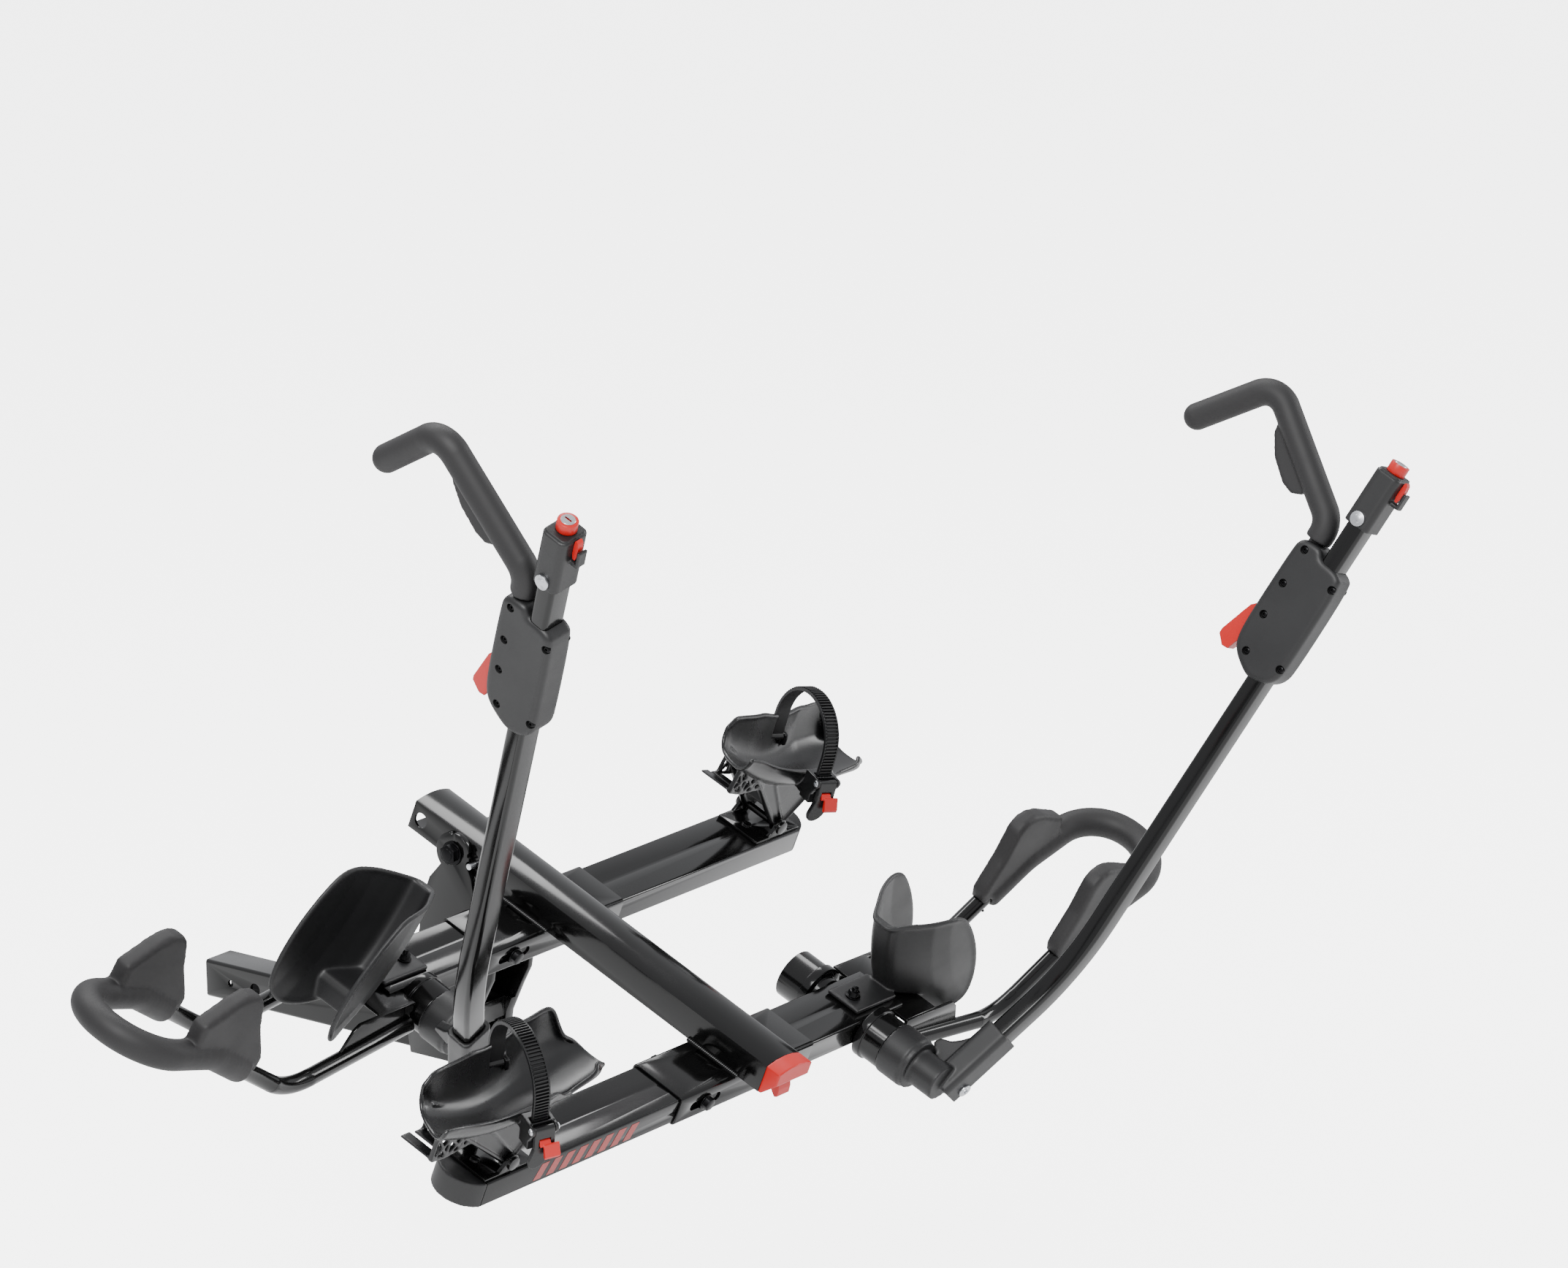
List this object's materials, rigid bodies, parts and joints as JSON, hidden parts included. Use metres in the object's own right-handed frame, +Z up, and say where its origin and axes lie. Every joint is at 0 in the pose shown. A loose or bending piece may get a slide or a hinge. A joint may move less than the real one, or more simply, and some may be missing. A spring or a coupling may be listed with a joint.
{
  "type": "hitch mounted bike rack",
  "caption": "Platform bicycle rack for a square tow hitch, with tilting spine, wheel trays, front wheel hoops, hooked ratchet arms and strapped rear wheel scoops.",
  "frame": {"origin": "centre of the hitch pin hole, on the axis of the square tube that goes into the receiver", "axes": "+Y towards the vehicle along the receiver tube, +Z up, +X to the right for someone who stands behind the vehicle and looks at it"},
  "size_m": [1.6574, 1.4268, 1.0484],
  "materials": {
    "black_steel": "gloss black powder coat",
    "black_plastic": "satin black moulded nylon",
    "gloss_plastic": "semi-gloss black moulding",
    "strap_plastic": "black flexible moulding",
    "red_plastic": "red moulded plastic",
    "dark_zinc": "black zinc plated steel",
    "zinc_steel": "zinc plated steel"
  },
  "bodies": {
    "hitch": {"stinger_tube": "black_steel", "riser": "black_steel", "pivot_bolt": "dark_zinc"},
    "spine": {"spine_tube": "black_steel", "near_sleeve": "black_steel", "far_sleeve": "black_steel", "spine_end_cap": "red_plastic"},
    "tilt_lever": {"tilt_lever": "red_plastic"},
    "latch_rod": {"latch_rod": "zinc_steel"},
    "near_tray": {"near_tray_tube": "black_steel", "near_tray_cap": "gloss_plastic", "near_clamp_bolt": "dark_zinc", "near_hoop_tube": "black_steel", "near_hoop_bracket": "black_steel", "near_hoop_cover": "black_plastic", "near_front_saddle": "black_plastic", "near_saddle_stud": "dark_zinc", "near_pivot_housing": "black_steel", "near_scoop_bracket": "black_steel"},
    "near_arm": {"near_arm_base": "black_plastic", "near_arm_tube": "black_steel", "near_arm_cap": "gloss_plastic", "near_arm_pin": "zinc_steel"},
    "near_lock": {"near_lock_core": "red_plastic"},
    "near_hook": {"near_hook_housing": "black_plastic", "near_hook_rod": "black_plastic", "near_hook_screws": "dark_zinc"},
    "near_trigger": {"near_hook_trigger": "red_plastic"},
    "near_scoop": {"near_rear_scoop": "black_plastic", "near_buckle_base": "black_plastic"},
    "near_strap": {"near_strap": "strap_plastic"},
    "near_ratchet": {"near_buckle_lever": "black_plastic"},
    "near_release": {"near_buckle_release": "red_plastic"},
    "far_tray": {"far_tray_tube": "black_steel", "far_tray_cap": "gloss_plastic", "far_clamp_bolt": "dark_zinc", "far_hoop_tube": "black_steel", "far_hoop_bracket": "black_steel", "far_hoop_cover": "black_plastic", "far_front_saddle": "black_plastic", "far_saddle_stud": "dark_zinc", "far_pivot_housing": "black_steel", "far_scoop_bracket": "black_steel"},
    "far_arm": {"far_arm_base": "black_plastic", "far_arm_tube": "black_steel", "far_arm_cap": "gloss_plastic", "far_arm_pin": "zinc_steel"},
    "far_lock": {"far_lock_core": "red_plastic"},
    "far_hook": {"far_hook_housing": "black_plastic", "far_hook_rod": "black_plastic", "far_hook_screws": "dark_zinc"},
    "far_trigger": {"far_hook_trigger": "red_plastic"},
    "far_scoop": {"far_rear_scoop": "black_plastic", "far_buckle_base": "black_plastic"},
    "far_strap": {"far_strap": "strap_plastic"},
    "far_ratchet": {"far_buckle_lever": "black_plastic"},
    "far_release": {"far_buckle_release": "red_plastic"}
  },
  "joints": [
    {"name": "rack_tilt", "type": "hinge", "parent": "hitch", "child": "spine", "pos_m": [0, -0.362, 0.255], "axis": [-1, 0, 0], "range_deg": [0, 113.5]},
    {"name": "lever_pull", "type": "hinge", "parent": "spine", "child": "tilt_lever", "pos_m": [0, -0.84764, 0.04525], "axis": [-1, 0, 0], "range_deg": [0, 22], "stiffness_Nm_per_rad": 0.4},
    {"name": "latch_slide", "type": "slide", "parent": "spine", "child": "latch_rod", "axis": [0, -0.9171, -0.3987], "range_m": [0, 0.0078]},
    {"name": "near_tray_slide", "type": "slide", "parent": "spine", "child": "near_tray", "axis": [1, 0, 0], "range_m": [-0.022, 0.022]},
    {"name": "near_arm_swing", "type": "hinge", "parent": "near_tray", "child": "near_arm", "pos_m": [0.254, -0.75805, 0.03732], "axis": [0, -0.9171, -0.3987], "range_deg": [-60, 92]},
    {"name": "near_lock_turn", "type": "hinge", "parent": "near_arm", "child": "near_lock", "pos_m": [0.64676, -1.32008, 0.74099], "axis": [0.3201, -0.4267, 0.8458], "range_deg": [0, 90]},
    {"name": "near_hook_slide", "type": "slide", "parent": "near_arm", "child": "near_hook", "axis": [-0.3201, 0.4267, -0.8458], "range_m": [0, 0.33]},
    {"name": "near_trigger_squeeze", "type": "hinge", "parent": "near_hook", "child": "near_trigger", "pos_m": [0.57051, -1.16838, 0.55791], "axis": [-0.9472, -0.1278, 0.294], "range_deg": [0, 10], "stiffness_Nm_per_rad": 0.8},
    {"name": "near_scoop_tilt", "type": "hinge", "parent": "near_tray", "child": "near_scoop", "pos_m": [-0.456, -0.7736, 0.07309], "axis": [0, -0.9171, -0.3987], "range_deg": [-15, 15]},
    {"name": "near_strap_swing", "type": "hinge", "parent": "near_scoop", "child": "near_strap", "pos_m": [-0.44754, -0.77482, 0.17497], "axis": [-0.9097, 0.4099, -0.0671], "range_deg": [0, 70]},
    {"name": "near_ratchet_lift", "type": "hinge", "parent": "near_scoop", "child": "near_ratchet", "pos_m": [-0.49646, -0.89057, 0.13102], "axis": [-0.9097, 0.4099, -0.0671], "range_deg": [0, 95]},
    {"name": "near_release_press", "type": "hinge", "parent": "near_ratchet", "child": "near_release", "pos_m": [-0.49396, -0.88759, 0.11531], "axis": [0.9097, -0.4099, 0.0671], "range_deg": [0, 9], "stiffness_Nm_per_rad": 0.05},
    {"name": "far_tray_slide", "type": "slide", "parent": "spine", "child": "far_tray", "axis": [1, 0, 0], "range_m": [-0.022, 0.022]},
    {"name": "far_arm_swing", "type": "hinge", "parent": "far_tray", "child": "far_arm", "pos_m": [-0.266, -0.45725, 0.16811], "axis": [0, 0.9171, 0.3987], "range_deg": [-60, 87]},
    {"name": "far_lock_turn", "type": "hinge", "parent": "far_arm", "child": "far_lock", "pos_m": [-0.5909, -1.03028, 0.89707], "axis": [-0.2466, -0.4354, 0.8658], "range_deg": [0, 90]},
    {"name": "far_hook_slide", "type": "slide", "parent": "far_arm", "child": "far_hook", "axis": [0.2466, 0.4354, -0.8658], "range_m": [0, 0.33]},
    {"name": "far_trigger_squeeze", "type": "hinge", "parent": "far_hook", "child": "far_trigger", "pos_m": [-0.5324, -0.87651, 0.70924], "axis": [-0.969, 0.0985, -0.2265], "range_deg": [0, 10], "stiffness_Nm_per_rad": 0.8},
    {"name": "far_scoop_tilt", "type": "hinge", "parent": "far_tray", "child": "far_scoop", "pos_m": [0.444, -0.4728, 0.20388], "axis": [0, -0.9171, -0.3987], "range_deg": [0, 30]},
    {"name": "far_strap_swing", "type": "hinge", "parent": "far_scoop", "child": "far_strap", "pos_m": [0.47648, -0.47187, 0.30082], "axis": [-0.9369, 0.313, 0.1559], "range_deg": [0, 70]},
    {"name": "far_ratchet_lift", "type": "hinge", "parent": "far_scoop", "child": "far_ratchet", "pos_m": [0.43074, -0.5926, 0.26829], "axis": [-0.9369, 0.313, 0.1559], "range_deg": [0, 95]},
    {"name": "far_release_press", "type": "hinge", "parent": "far_ratchet", "child": "far_release", "pos_m": [0.42912, -0.58957, 0.25248], "axis": [0.9369, -0.313, -0.1559], "range_deg": [0, 9], "stiffness_Nm_per_rad": 0.05}
  ],
  "couplings": [
    {"joint": "lever_pull", "follows": "latch_slide", "rad_per_m": 49.2}
  ]
}
